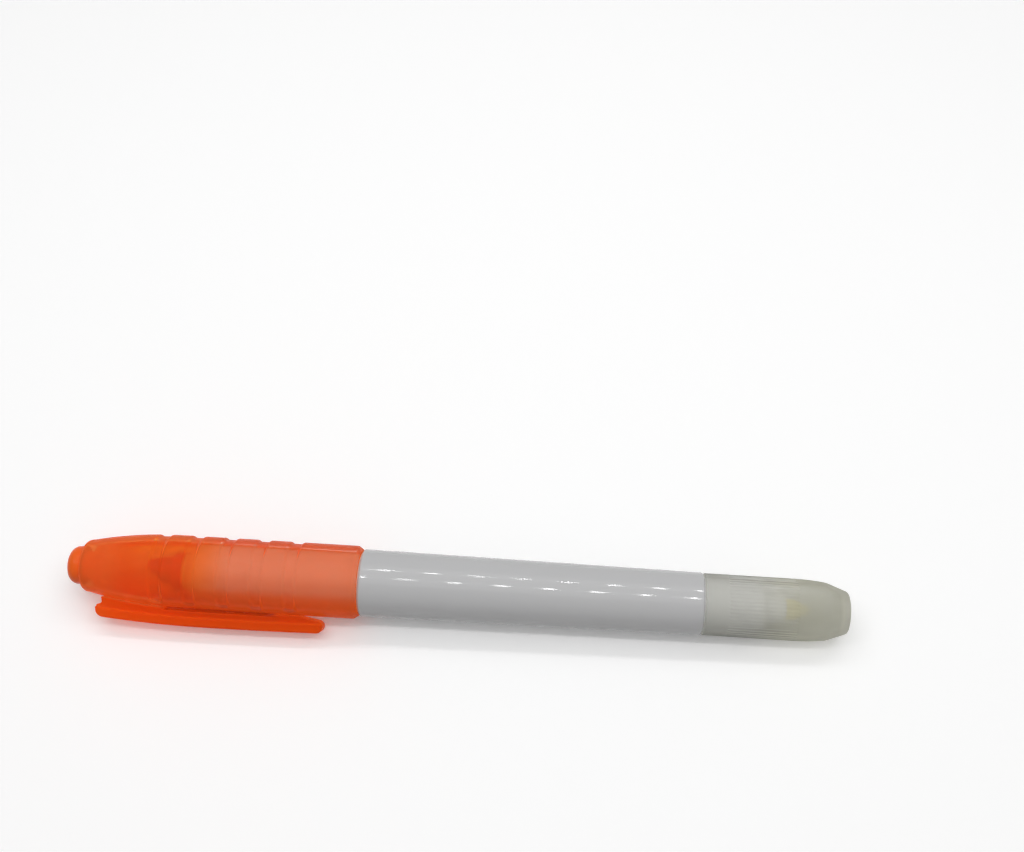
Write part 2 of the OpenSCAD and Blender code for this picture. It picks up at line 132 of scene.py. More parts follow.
class OrangeCapSizes(bpy.types.PropertyGroup):
    """Sizes of the coloured cap and of its finger grooves."""

    radius: length("Outer radius at the mouth", 6.556)
    draft: length("Fall of the radius towards the nose", 0.04)
    bore: length("Inner radius of the sleeve", 5.38)
    nose_length: length("Plug's tip to the sleeve", 20.0)
    nose_radius: length("At the nose's small end", 4.75)
    nose_start: length("Plug's tip to its rounded end", 4.0)
    end_round: length("Height of the rounded end", 0.8)
    end_place: length("Plug's tip to the end face", 2.8)
    end_wall: length("Thickness of the closed end", 2.2)
    plug_hole: length("Radius for the plug's stem", 2.62)
    bevel_length: length("Of the bevel round the mouth", 0.9)
    bevel_height: length("Of the bevel round the mouth", 0.55)
    groove_count: count("Number of finger grooves", 5)
    groove_width: length("Of one finger groove", 2.0)
    groove_depth: length("Of one finger groove", 0.32)
    groove_pitch: length("From groove to groove", 6.0)
    groove_setback: length("Mouth to the first groove", 10.9)
    groove_edge: length("Softness of a groove's edges", 0.34)
    groove_end: angle("Clip to where the grooves stop", 38.0)


class PocketClipSizes(bpy.types.PropertyGroup):
    """Sizes of the clip that is moulded with the coloured cap."""

    roll: angle("Turn about the pen, from straight up", 120.4)
    crest: length("Height of the back above the pen's axis", 9.76)
    crest_place: length("Plug's tip to the crest", 24.6)
    hook_place: length("Plug's tip to the hook", 5.5)
    hook_round: length("Of the hook's outer corner", 1.4)
    hook_drop: length("Of the back from crest to hook", 0.9)
    foot_place: length("Plug's tip to the foot's tip", 46.75)
    foot_drop: length("Of the back from crest to foot", 0.28)
    foot_round: length("Radius of the foot's tip", 1.1)
    notch_length: length("Of the notch under the hook", 1.0)
    notch_height: length("Of the notch under the hook", 1.4)
    root_length: length("Where the clip grows from the cap", 11.1)
    slit: length("Gap between the clip and the cap", 0.07)
    slit_cant: length("Added to the slit at its upper edge", 0.38)
    bump_slit: length("Gap under the gripping bump", 0.05)
    bump_length: length("Of the gripping bump", 3.4)
    bump_ramp: length("Slope up to the gripping bump", 1.0)
    flare_length: length("Of the flared foot", 4.8)
    back_width: length("Of the clip's back", 4.0)
    back_thickness: length("Of the clip's back", 1.5)
    web_width: length("Of the web under the back", 2.8)
    edge: length("Rounding of the edges", 0.15)


class FrostedCapSizes(bpy.types.PropertyGroup):
    """Sizes of the frosted cap and of its flutes."""

    radius: length("Outer radius of the collar", 5.5)
    wall: length("Thickness of the wall", 0.57)
    mouth_round: length("Of the mouth's outer edge", 0.2)
    bow_start: length("Mouth to the bowed end", 16.5)
    bow_drop: length("Fall of the radius over the bow", 0.42)
    cone_length: length("Of the cone beyond the bow", 3.6)
    end_radius: length("At the cone's small end", 3.85)
    end_round: length("Of the closed end", 0.5)
    end_wall: length("Thickness of the closed end", 1.0)
    flutes: count("Number of fine flutes", 50)
    flute_depth: length("Of one flute", 0.06)
    flute_start: length("Mouth to the flutes", 4.0)
    flute_length: length("Of the flutes", 12.4)
    flute_run: length("Over which a flute runs in and out", 0.35)


class NibSizes(bpy.types.PropertyGroup):
    """Sizes of the two nibs."""

    chisel_radius: length("Of the chisel nib's bar", 2.6)
    chisel_thickness: length("Across the chisel nib's flats", 3.6)
    chisel_edge: length("Thickness at the chisel nib's tip", 1.3)
    chisel_bevel: length("Length of the chisel nib's bevels", 2.7)
    chisel_slant: angle("Slant of the chisel nib's tip", 25.0)
    bullet_radius: length("Of the eraser nib", 1.9)
    bullet_tip: length("Radius of the eraser nib's tip", 1.0)
    bullet_taper: length("Length of the eraser nib's taper", 2.8)
    grid: length("Fineness of the felt's mesh", 0.14)
    softening: count("How often the felt's edges are smoothed", 6)
    tufts: length("Width of the felt's uneven places", 0.35)
    roughening: length("Height of the felt's uneven places", 0.03)


class FinishColours(bpy.types.PropertyGroup):
    """Colours of the materials, and how much the see-through ones hide."""

    white: colour("Barrel", (0.53, 0.53, 0.535))
    clip: colour("Clip of the coloured cap", (0.92, 0.09, 0.006))
    # Painted shade: this darker orange is painted along the slit under the clip in place of its shade
    slit: colour("Shade in the slit under the clip", (0.58, 0.062, 0.015))
    nose: colour("Nose of the coloured cap", (0.88, 0.23, 0.05))
    sleeve: colour("Thin sleeve of the coloured cap", (0.79, 0.12, 0.05))
    orange_milk: colour("Light spread by the coloured cap", (0.97, 0.2, 0.024))
    # Painted light: a brighter, denser orange on the sleeve's clip side stands in for the light
    # falling there, not for a denser wall
    pad: colour("Denser wall of that cap by its clip", (1.0, 0.155, 0.03))
    nose_tint: colour("Light through its nose", (0.98, 0.7, 0.36))
    sleeve_tint: colour("Light through its sleeve", (0.97, 0.9, 0.825))
    plug: colour("Plug in the coloured cap's end", (0.95, 0.13, 0.01))
    frosted: colour("Frosted cap at its mouth", (0.34, 0.34, 0.335))
    frosted_end: colour("Frosted cap at its closed end", (0.46, 0.453, 0.375))
    frosted_milk: colour("Light spread by the frosted cap", (0.64, 0.638, 0.58))
    frosted_tint: colour("Light through the frosted cap", (0.99, 0.99, 0.985))
    natural: colour("Nib holders and divider", (0.76, 0.76, 0.755))
    ink_felt: colour("Chisel nib", (0.7, 0.06, 0.008))
    cream_felt: colour("Eraser nib", (0.82, 0.765, 0.51))
    ink_fibre: colour("Ink reservoir", (0.85, 0.17, 0.03))
    eraser_fibre: colour("Eraser reservoir", (0.85, 0.83, 0.76))
    film: colour("Films round the reservoirs", (0.85, 0.88, 0.9))
    sleeve_cover: share("How much the sleeve hides", 0.48)
    # Cover of that painted light on the sleeve's clip side
    pad_cover: share("How much the denser wall by the clip hides", 0.85)
    nose_cover: share("How much the nose hides", 0.5)
    end_cover: share("How much the nose's thick end hides", 0.85)
    clip_cover: share("How much the solid clip hides", 0.96)
    orange_limb: share("Cover added where seen edge-on", 0.95)
    frosted_cover: share("How much the frosted wall hides", 0.46)
    frosted_end_cover: share("How much its closed end hides", 0.66)
    frosted_rim: share("Cover added at the very end", 0.9)
    frosted_limb: share("Cover added where seen edge-on", 0.92)
    milkiness: share("Share of light from behind that spreads", 0.55)


class StageSettings(bpy.types.PropertyGroup):
    """Camera, lamps and floor."""

    camera_place: point("Where the camera stands", (0.016737, -0.092150, 0.212810))
    camera_aim: point("What it looks at", (0.008503, 0.027898, 0.020243))
    lens: strength("Focal length in mm on a 36 mm wide sensor", 43.945)
    sky: strength("Brightness of the even light all round", 0.33)
    lamp_power: strength("Power of the wide lamp overhead", 1.2)
    lamp_size: length("Side of the wide lamp", 750.0)
    lamp_height: length("Height of the wide lamp", 600.0)
    lamp_setback: length("How far it hangs behind the pen", 80.0)
    diode_height: length("Of the two rows of small lamps", 400.0)
    diode_pitch: length("From lamp to lamp in a row", 23.3)
    diode_count: count("Small lamps in a row", 27)
    diode_glow: strength("Brightness of the small lamps", 22.7)
    floor: colour("Floor as the camera sees it", (1.0, 1.0, 1.0))
    floor_glow: colour("Brings the floor up to white where seen", (0.13, 0.13, 0.13))
    far_glow: colour("The same far from the lamps", (0.67, 0.67, 0.67))
    floor_bounce: colour("Floor as it lights the pen", (0.5, 0.5, 0.5))


class Value:
    """A shader socket that can be used in Python expressions."""

    def __init__(self, graph, socket):
        self.graph = graph
        self.socket = socket

    def __add__(self, other):
        return self.graph.maths("ADD", self, other)

    def __sub__(self, other):
        return self.graph.maths("SUBTRACT", self, other)

    def __rsub__(self, other):
        return self.graph.maths("SUBTRACT", other, self)

    def __mul__(self, other):
        return self.graph.maths("MULTIPLY", self, other)

    __radd__ = __add__
    __rmul__ = __mul__


class Graph:
    """The node tree of one material, or of the world."""

    def __init__(self, owner):
        self.owner = owner
        owner.use_nodes = True
        self.tree = owner.node_tree
        self.tree.nodes.clear()

    def node(self, kind, settings=None, sockets=None, output=0):
        """Adds a node: its settings are set first, then its sockets; gives one of its outputs."""
        node = self.tree.nodes.new(kind)
        for name, value in (settings or {}).items():
            setattr(node, name, value)
        for name, value in (sockets or {}).items():
            socket = node.inputs[name]
            if isinstance(value, Value):
                self.tree.links.new(value.socket, socket)
            else:
                socket.default_value = (*value, 1.0) if socket.type == "RGBA" else value
        return Value(self, node.outputs[output]) if node.outputs else node

    def maths(self, operation, first, second):
        return self.node("ShaderNodeMath", {"operation": operation}, {0: first, 1: second})

    def vector_maths(self, operation, sockets, output=1):
        return self.node("ShaderNodeVectorMath", {"operation": operation}, sockets, output)

    def mix_colour(self, factor, first, second, blend="MIX"):
        return self.node("ShaderNodeMix", {"data_type": "RGBA", "blend_type": blend},
                         {0: factor, 6: first, 7: second}, output=2)

    def mottled(self, value, base, dark, light):
        """A colour that goes from a darker to a lighter shade of its base."""
        return self.mix_colour(value, [c * dark for c in base], [min(1.0, c * light) for c in base])

    def shaded(self, value, tint, dark, light):
        """The same for a colour that varies already."""
        shade = self.mix_colour(value, (dark,) * 3, (light,) * 3)
        return self.mix_colour(1.0, tint, shade, "MULTIPLY")

    def object_place(self):
        return self.node("ShaderNodeTexCoord", output=3)

    def place(self, stretch):
        """Object coordinates from the pen's axis, stretched along the pen."""
        return self.node("ShaderNodeMapping", sockets={
            "Vector": self.object_place(),
            "Location": (0.0, -AXIS.y, -AXIS.z),
            "Scale": (stretch, 1.0, 1.0)})

    def noise(self, scale, stretch=1.0, detail=2.0, roughness=0.5):
        """Cloudy noise between about 0 and 1; the scale is in features per metre."""
        return self.node("ShaderNodeTexNoise", sockets={
            "Vector": self.place(stretch), "Scale": scale, "Detail": detail,
            "Roughness": roughness})

    def between(self, value, span, first=0.0, last=1.0, course="SMOOTHSTEP"):
        """Goes from first to last as the value goes through the span."""
        return self.node("ShaderNodeMapRange", {"interpolation_type": course}, {
            "Value": value, "From Min": span[0], "From Max": span[1],
            "To Min": first, "To Max": last})

    def along(self, origin, span, first=0.0, last=1.0, course="SMOOTHSTEP"):
        """The same for places along the pen, with the span given from an origin."""
        x = self.node("ShaderNodeSeparateXYZ", sockets={"Vector": self.object_place()})
        return self.between(x, (origin + span[0], origin + span[1]), first, last, course)

    def from_axis(self):
        """Distance from the pen's axis."""
        return self.vector_maths("LENGTH", {0: self.place(0.0)})

    def towards(self, roll):
        """Cosine of the angle about the pen from a direction that is turned from straight up."""
        across = self.vector_maths("NORMALIZE", {0: self.place(0.0)}, 0)
        return self.vector_maths("DOT_PRODUCT", {
            0: across, 1: (0.0, -math.sin(roll), math.cos(roll))})

    def outwards(self):
        """1 on the side of a surface that faces away from its solid, 0 on the other."""
        return 1.0 - self.node("ShaderNodeNewGeometry", output=6)

    def grazing(self):
        """0 where a surface is seen straight on, 1 where it is seen along its length."""
        return self.node("ShaderNodeLayerWeight", sockets={"Blend": 0.5}, output=1)

    def bump(self, height, distance):
        return self.node("ShaderNodeBump", sockets={
            "Height": height, "Distance": distance, "Strength": 1.0})

    def mix_shader(self, factor, first, second):
        return self.node("ShaderNodeMixShader", sockets={0: factor, 1: first, 2: second})

    def clear(self, tint):
        return self.node("ShaderNodeBsdfTransparent", sockets={"Color": tint})

    def principled(self, sockets):
        return self.node("ShaderNodeBsdfPrincipled", sockets=sockets)

    def finish(self, shader):
        """Ends the tree with its shader and gives the material."""
        self.node("ShaderNodeOutputMaterial", sockets={"Surface": shader})
        return self.owner

    def finish_milky(self, cover, behind, milk, spread, sockets):
        """Ends the tree with a milky wall, which covers what is behind and spreads its light."""
        spread_light = self.node("ShaderNodeBsdfTranslucent", sockets={"Color": milk})
        plastic = self.mix_shader(spread, self.principled(sockets), spread_light)
        return self.finish(self.mix_shader(cover * self.outwards(), behind, plastic))


def new_material(name):
    return Graph(bpy.data.materials.new(name))


def raised(cover, amount):
    """A cover brought up towards full by an amount."""
    return cover + (1.0 - cover) * amount


def glossy_white(colours):
    """Polished white plastic with the slight waviness of a moulded tube and faint handling marks."""
    graph = new_material("glossy_white_plastic")
    clouds = graph.noise(90.0, 0.4, 3.0)
    smudges = graph.between(graph.noise(420.0, 0.5, 4.0), (0.5, 0.72), course="LINEAR")
    waves = graph.noise(160.0, 0.35, 1.0)
    grain = graph.noise(2600.0, detail=1.0)
    return graph.finish(graph.principled({
        "Base Color": graph.mottled(clouds, colours.white, 0.97, 1.03),
        "Roughness": 0.045 + smudges * 0.05,
        "IOR": 1.45,
        "Normal": graph.bump(waves + grain * 0.004, 0.003 * MM)}))


def slit_ends(clip):
    """Places along the pen where the slit under the clip starts and ends."""
    start = clip.hook_place + clip.notch_length + clip.root_length
    end = clip.foot_place - clip.flare_length - clip.bump_length - clip.bump_ramp
    return PLUG_TIP + start, PLUG_TIP + end


def orange_plastic(colours, cap, pocket_clip):
    """See-through moulded plastic: dense in its solid clip, milky in its thin sleeve, with a painted
    shade in the slit under the clip and painted light on the sleeve's clip side.
    """
    graph = new_material("orange_plastic")
    flow = graph.noise(260.0, 0.22, 3.0)
    grain = graph.noise(1500.0, 0.6)
    scuffs = graph.between(graph.noise(700.0, 0.3, 5.0), (0.48, 0.7), course="LINEAR")
    nose = cap.radius - cap.draft
    fall = graph.along(PLUG_TIP, (cap.nose_start, cap.nose_length), 1.0, 0.0, "LINEAR")
    height = graph.from_axis() - (nose - fall * fall * (nose - cap.nose_radius))
    clip = graph.between(height, CLIP_FOOT)
    wall = 1.0 - clip
    sleeve = graph.along(PLUG_TIP, SLEEVE_START) * wall
    thick_end = graph.along(PLUG_TIP, THICK_END, 1.0, 0.0) * wall
    # Painted light: the sleeve's clip side gets a brighter, denser orange in place of the light that
    # falls there
    pad = graph.between(graph.towards(pocket_clip.roll), PAINTED_LIGHT_SIDE) * wall \
        * graph.along(PLUG_TIP, PAINTED_LIGHT_START)
    slit_start, slit_end = slit_ends(pocket_clip)
    # Painted shade: the slit under the clip gets a darker colour and less spread light, standing in
    # for its shade
    slit = graph.between(height, SLIT_SHADE_FLOOR) * graph.between(height, SLIT_SHADE_ROOF, 1.0, 0.0) \
        * graph.along(slit_start, SLIT_SHADE_OPENS) * graph.along(slit_end, SLIT_SHADE_CLOSES, 1.0, 0.0)
    tint = graph.mix_colour(sleeve, colours.nose, colours.sleeve)
    for amount, dye in ((pad, colours.pad), (clip, colours.clip), (slit, colours.slit)):
        tint = graph.mix_colour(amount, tint, dye)
    cover = colours.nose_cover + (flow - 0.5) * 0.06
    for amount, full in ((sleeve, colours.sleeve_cover), (thick_end, colours.end_cover),
                         (clip, colours.clip_cover)):
        cover = cover + amount * (full - colours.nose_cover)
    cover = cover + pad * (colours.pad_cover - cover)
    limb = graph.between(graph.grazing(), ORANGE_LIMB, 0.0, colours.orange_limb)
    behind = graph.mix_shader(sleeve, graph.clear(colours.nose_tint), graph.clear(colours.sleeve_tint))
    # Less spread light in the slit is part of its painted shade
    return graph.finish_milky(
        raised(cover, limb), behind, colours.orange_milk, colours.milkiness - slit * 0.3, {
            "Base Color": graph.shaded(flow, tint, 0.93, 1.07),
            "Roughness": 0.22 + scuffs * 0.12,
            "IOR": 1.5,
            "Specular IOR Level": 0.08,
            "Normal": graph.bump(flow + grain * 0.06, 0.03 * MM)})


def plug_plastic(colours):
    """The plug's solid orange, with a dull moulded face."""
    graph = new_material("orange_plug_plastic")
    flow = graph.noise(420.0, detail=3.0)
    return graph.finish(graph.principled({
        "Base Color": graph.mottled(flow, colours.plug, 0.9, 1.08),
        "Roughness": 0.24 + flow * 0.12,
        "IOR": 1.5,
        "Specular IOR Level": 0.16,
        "Normal": graph.bump(graph.noise(1400.0), 0.01 * MM)}))


def frosted_plastic(colours):
    """Milky see-through plastic with a fine moulded grain, denser at the closed end."""
    graph = new_material("frosted_plastic")
    milk = graph.noise(300.0, 0.35, 3.0)
    grain = graph.noise(2400.0)
    closed = graph.along(ERASER_MOUTH, FROSTED_TINT)
    tint = graph.mix_colour(closed, colours.frosted, colours.frosted_end)
    cover = graph.along(ERASER_MOUTH, FROSTED_DENSER, colours.frosted_cover, colours.frosted_end_cover)
    cover = raised(cover, graph.along(ERASER_END, FROSTED_RIM, 0.0, colours.frosted_rim))
    limb = graph.between(graph.grazing(), FROSTED_LIMB, 0.0, colours.frosted_limb)
    return graph.finish_milky(
        raised(cover, limb), graph.clear(colours.frosted_tint), colours.frosted_milk,
        colours.milkiness, {
            "Base Color": graph.shaded(milk, tint, 0.94, 1.06),
            "Roughness": 0.42 + grain * 0.12,
            "IOR": 1.45,
            "Specular IOR Level": 0.05,
            "Normal": graph.bump(grain, 0.01 * MM)})


def natural_plastic(colours):
    """Plain white moulded plastic of the inner parts, wet with ink where the chisel nib comes out."""
    graph = new_material("natural_plastic")
    flow = graph.noise(350.0, 0.4, 3.0)
    tint = graph.mottled(flow, colours.natural, 0.95, 1.04)
    wet = graph.along(NOZZLE_TIP, WET_EDGE, 1.0, 0.0)
    return graph.finish(graph.principled({
        "Base Color": graph.mix_colour(wet, tint, colours.ink_felt),
        "Roughness": 0.3 + flow * 0.15,
        "IOR": 1.48,
        "Normal": graph.bump(graph.noise(1300.0, detail=3.0), 0.01 * MM)}))


def felt(name, base, stretch):
    """Pressed fibres along the pen."""
    graph = new_material(name)
    fibres = graph.noise(5200.0, stretch, 3.0, 0.65)
    clumps = graph.noise(900.0, stretch)
    shade = graph.between(fibres * 0.7 + clumps * 0.3, (0.3, 0.7), course="LINEAR")
    return graph.finish(graph.principled({
        "Base Color": graph.mottled(shade, base, 0.72, 1.2),
        "Roughness": 0.86 + shade * 0.1,
        "Sheen Weight": 0.25,
        "Sheen Roughness": 0.5,
        "Normal": graph.bump(fibres, 0.06 * MM)}))


def film_plastic(colours):
    """Thin clear film with faint wrinkles along the reservoir."""
    graph = new_material("clear_film")
    wrinkles = graph.noise(500.0, 0.15, 3.0)
    return graph.finish(graph.principled({
        "Base Color": graph.mottled(wrinkles, colours.film, 0.95, 1.0),
        "Roughness": 0.12 + wrinkles * 0.1,
        "Alpha": 0.3,
        "Normal": graph.bump(wrinkles, 0.04 * MM)}))


def clear_selection():
    """Leaves edit mode and deselects every object."""
    if bpy.context.object and bpy.context.object.mode != "OBJECT":
        bpy.ops.object.mode_set(mode="OBJECT")
    bpy.ops.object.select_all(action="DESELECT")


def select_only(piece):
    clear_selection()
    piece.select_set(True)
    bpy.context.view_layer.objects.active = piece


def start_point(place):
    """Adds a vertex, merged from a small plane, to a new mesh or to the one being edited."""
    editing = bpy.context.object is not None and bpy.context.object.mode == "EDIT"
    if editing:
        bpy.ops.mesh.select_all(action="DESELECT")
    else:
        clear_selection()
    bpy.ops.mesh.primitive_plane_add(size=0.1 * MM, location=place)
    if not editing:
        bpy.ops.object.transform_apply()
        bpy.ops.object.mode_set(mode="EDIT")
        bpy.ops.mesh.select_all(action="SELECT")
    bpy.ops.mesh.merge(type="CENTER")


def draw_chain(points):
    """Draws edges through the points, each one extruded from the last."""
    points = [Vector(p) for p in points]
    start_point(points[0])
    for here, there in zip(points, points[1:]):
        bpy.ops.mesh.extrude_region_move(TRANSFORM_OT_translate={"value": there - here})


def pick(kind, test):
    """Selects those vertices (VERT) or faces (FACE) of the mesh being edited that pass the test."""
    bpy.ops.mesh.select_mode(type=kind)
    bpy.ops.mesh.select_all(action="DESELECT")
    mesh = bpy.context.object.data
    cage = bmesh.from_edit_mesh(mesh)
    for part in cage.verts if kind == "VERT" else cage.faces:
        part.select_set(bool(test(part)))
    if kind == "VERT":
        cage.select_flush(True)
    bmesh.update_edit_mesh(mesh)


def close_up():
    """Merges doubles and turns every face outwards."""
    bpy.ops.mesh.select_mode(type="VERT")
    bpy.ops.mesh.select_all(action="SELECT")
    bpy.ops.mesh.remove_doubles(threshold=0.0005 * MM)
    bpy.ops.mesh.normals_make_consistent()


def turn_outline(name, outline, steps):
    """Turns an outline of places along the pen and radii once round the pen's axis."""
    draw_chain((x, AXIS.y, AXIS.z + r) for x, r in outline)
    piece = bpy.context.object
    piece.name = name
    piece.data.name = name
    bpy.ops.mesh.select_all(action="SELECT")
    bpy.ops.mesh.spin(steps=steps, angle=math.tau, center=AXIS, axis=(1.0, 0.0, 0.0))
    close_up()
    bpy.ops.object.mode_set(mode="OBJECT")
    return piece


def apply_modifier(piece, name, kind, settings):
    """Adds a modifier, sets it and applies it."""
    modifier = piece.modifiers.new(name, kind)
    for key, value in settings.items():
        setattr(modifier, key, value)
    bpy.context.view_layer.objects.active = piece
    bpy.ops.object.modifier_apply(modifier=modifier.name)


def sink(piece, name, depth, weight):
    """Presses a pattern into a piece: weight gives, at each vertex, the share of the depth."""
    group = piece.vertex_groups.new(name=name)
    for vertex in piece.data.vertices:
        amount = weight(vertex.co)
        if amount > 0.0:
            group.add([vertex.index], amount, "REPLACE")
    apply_modifier(piece, name, "DISPLACE", {
        "vertex_group": group.name, "strength": -depth, "mid_level": 0.0, "direction": "NORMAL"})
    piece.vertex_groups.remove(piece.vertex_groups[name])


def settle(piece, body, slot, material, *nodes):
    """Shades a finished piece, gives it its material, puts it under its body and hides the CAD nodes
    that it stands for; its slot is not used.
    """
    select_only(piece)
    bpy.ops.object.shade_smooth_by_angle(angle=SMOOTH_ANGLE)
    piece.data.materials.clear()
    piece.data.materials.append(material)
    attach(piece, body)
    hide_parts(*nodes)
    piece.select_set(False)


def smoothstep(low, high, value):
    t = min(1.0, max(0.0, (value - low) / (high - low)))
    return t * t * (3.0 - 2.0 * t)


def arc(centre, radius, start, end, steps, reach=None):
    """Points on a circle, or on an ellipse of another reach along the pen; 0 degrees is outwards."""
    turns = [math.radians(t) for t in spread(start, end, steps)]
    return [(centre[0] + (reach or radius) * math.sin(t), centre[1] + radius * math.cos(t))
            for t in turns]


def spread(start, end, steps):
    return [start + (end - start) * i / steps for i in range(steps + 1)]


def cap_radius(cap, s):
    """Outer radius of the coloured cap at a distance from the plug's tip."""
    sleeve = CAP_MOUTH - PLUG_TIP
    nose = cap.radius - cap.draft
    if s >= cap.nose_length:
        return cap.radius - cap.draft * ((sleeve - s) / (sleeve - cap.nose_length)) ** 2
    t = (cap.nose_length - s) / (cap.nose_length - cap.nose_start)
    return nose - (nose - cap.nose_radius) * t * t


def groove_middles(cap):
    """Places of the grooves' middles, from the plug's tip."""
    first = CAP_MOUTH - PLUG_TIP - cap.groove_setback - cap.groove_width / 2
    return [first - i * cap.groove_pitch for i in range(cap.groove_count)]


def cap_outline(cap):
    """Closed outline of the coloured cap's wall, with close steps at the grooves' edges."""
    sleeve = CAP_MOUTH - PLUG_TIP
    places = set(spread(cap.nose_start, cap.nose_length, 22))
    places.update(spread(cap.nose_length, sleeve - cap.bevel_length - 0.1 * MM, 22))
    for middle in groove_middles(cap):
        for side in (-1.0, 1.0):
            wall = middle + side * cap.groove_width / 2
            places = {s for s in places if abs(s - wall) > 1.6 * cap.groove_edge}
            places.update(wall + cap.groove_edge * k / 3.0 for k in range(-4, 5))
    outside = [(s, cap_radius(cap, s)) for s in sorted(places)]
    nose_end = arc((cap.nose_start, cap.nose_radius - cap.end_round), cap.end_round, -90.0, 0.0, 10,
                   reach=cap.nose_start - cap.end_place)
    # The bevel's two edges and the edge of the bore, each softened by a few close points
    bevel = sleeve - cap.bevel_length
    bevel_radius = cap.radius - cap.bevel_height
    mouth = [(bevel + 0.06 * MM, cap.radius - 0.015 * MM),
             (bevel + 0.2 * MM, cap.radius - 0.09 * MM),
             (sleeve - 0.12 * MM, bevel_radius + 0.06 * MM),
             (sleeve - 0.03 * MM, bevel_radius - 0.01 * MM),
             (sleeve, bevel_radius - 0.08 * MM),
             (sleeve, cap.bore + 0.08 * MM),
             (sleeve - 0.03 * MM, cap.bore + 0.02 * MM),
             (sleeve - 0.1 * MM, cap.bore)]
    wall = cap.radius - cap.draft - cap.bore
    inner_end = cap.end_place + cap.end_wall
    inside = [(s, cap.bore) for s in spread(sleeve - 2.0 * MM, cap.nose_length, 10)]
    inside += [(s, cap_radius(cap, s) - wall) for s in spread(cap.nose_length, inner_end, 16)[1:]]
    hole = [(inner_end, cap.plug_hole), (cap.end_place, cap.plug_hole)]
    outline = nose_end[:-1] + outside + mouth + inside + hole + nose_end[:1]
    return [(PLUG_TIP + s, r) for s, r in outline]


def groove_weight(cap, clip):
    """Share of the groove's depth at a point: full on its floor, none on the lands and by the clip."""
    middles = groove_middles(cap)
    half = cap.groove_width / 2
    inside = cap.bore + 0.3 * MM

    def weight(point):
        across = Vector((point.y - AXIS.y, point.z - AXIS.z))
        nearest = min(abs(point.x - PLUG_TIP - m) for m in middles)
        if across.length < inside or nearest > half + cap.groove_edge:
            return 0.0
        turn = math.atan2(-across.x, across.y) - clip.roll
        turn = abs((turn + math.pi) % math.tau - math.pi)
        before_end = (cap.groove_end - turn) * across.length
        away = math.hypot(nearest, before_end) if before_end > 0.0 else nearest
        return 1.0 - smoothstep(half - cap.groove_edge, half + cap.groove_edge, away)

    return weight


def clip_back(clip, s):
    """Height of the clip's bowed back above the pen's axis."""
    if s < clip.crest_place:
        drop, end = clip.hook_drop, clip.hook_place
    else:
        drop, end = clip.foot_drop, clip.foot_place
    return clip.crest - drop * ((s - clip.crest_place) / (end - clip.crest_place)) ** 2


def clip_rows(cap, clip):
    """Three rows of as many points along the clip: its underside, the back's underside, the back."""
    web = clip.hook_place + clip.notch_length
    slit = web + clip.root_length
    slit_top = cap.radius + clip.slit
    bump_top = cap.radius + clip.bump_slit
    bump_end = clip.foot_place - clip.flare_length
    bump_start = bump_end - clip.bump_length
    notch = clip.notch_height / 2
    notch_low = cap_radius(cap, web)
    hook_start = clip.hook_place + clip.hook_round
    hook = (hook_start, clip_back(clip, hook_start) - clip.hook_round)
    foot_start = clip.foot_place - clip.foot_round
    foot = (foot_start, clip_back(clip, foot_start) - clip.foot_round)
    buried = 0.4 * MM
    hook_lip = 0.45 * MM
    foot_run = 1.4 * MM

    def seat_at(s):
        return (s, clip_back(clip, s) - clip.back_thickness)

    def line(a, b, steps):
        return list(zip(spread(a[0], b[0], steps), spread(a[1], b[1], steps)))[1:]

    low = [(clip.hook_place, notch_low + clip.notch_height)]
    mid = [(clip.hook_place, notch_low + clip.notch_height + hook_lip)]
    top = [(clip.hook_place, hook[1])]

    def add_back(start, end, steps):
        places = spread(start, end, steps)[1:]
        mid.extend(seat_at(s) for s in places)
        top.extend((s, clip_back(clip, s)) for s in places)

    # The notch and the hook
    low += arc((web - notch, notch_low + notch), notch, 0.0, 150.0, 6)
    mid += line(mid[0], seat_at(hook_start), 7)
    top += arc(hook, clip.hook_round, -90.0, 0.0, 7)[1:]
    # The root, sunk a little into the cap, and the round end of the slit
    low += [(s, cap_radius(cap, s) - buried) for s in spread(web, slit, 14)[1:]]
    add_back(hook_start, slit, 14)
    low += arc((slit + clip.slit / 2, cap.radius + clip.slit / 2), clip.slit / 2, -90.0, 0.0, 5)
    add_back(slit, slit + clip.slit, 6)
    # The slit and the gripping bump
    for s, r, steps in ((bump_start - clip.bump_ramp, slit_top, 12), (bump_start, bump_top, 3),
                        (bump_end, bump_top, 4)):
        low += line(low[-1], (s, r), steps)
        add_back(mid[-1][0], s, steps)
    # The flared foot
    under_foot = arc(foot, clip.foot_round, 165.0, 132.0, 3)
    seat_end = math.degrees(math.acos((clip.foot_round - clip.back_thickness) / clip.foot_round))
    low += line(low[-1], under_foot[0], 5) + under_foot[1:]
    mid += [seat_at(s) for s in spread(bump_end, foot_start - foot_run, 2)[1:]]
    mid += line(mid[-1], arc(foot, clip.foot_round, seat_end, seat_end, 1)[0], 6)
    top += [(s, clip_back(clip, s)) for s in spread(bump_end, foot_start, 2)[1:]]
    top += arc(foot, clip.foot_round, 0.0, 84.0, 6)[1:]
    if not len(low) == len(mid) == len(top):
        raise RuntimeError(f"the clip's rows differ: {len(low)}, {len(mid)}, {len(top)}")
    return low, mid, top


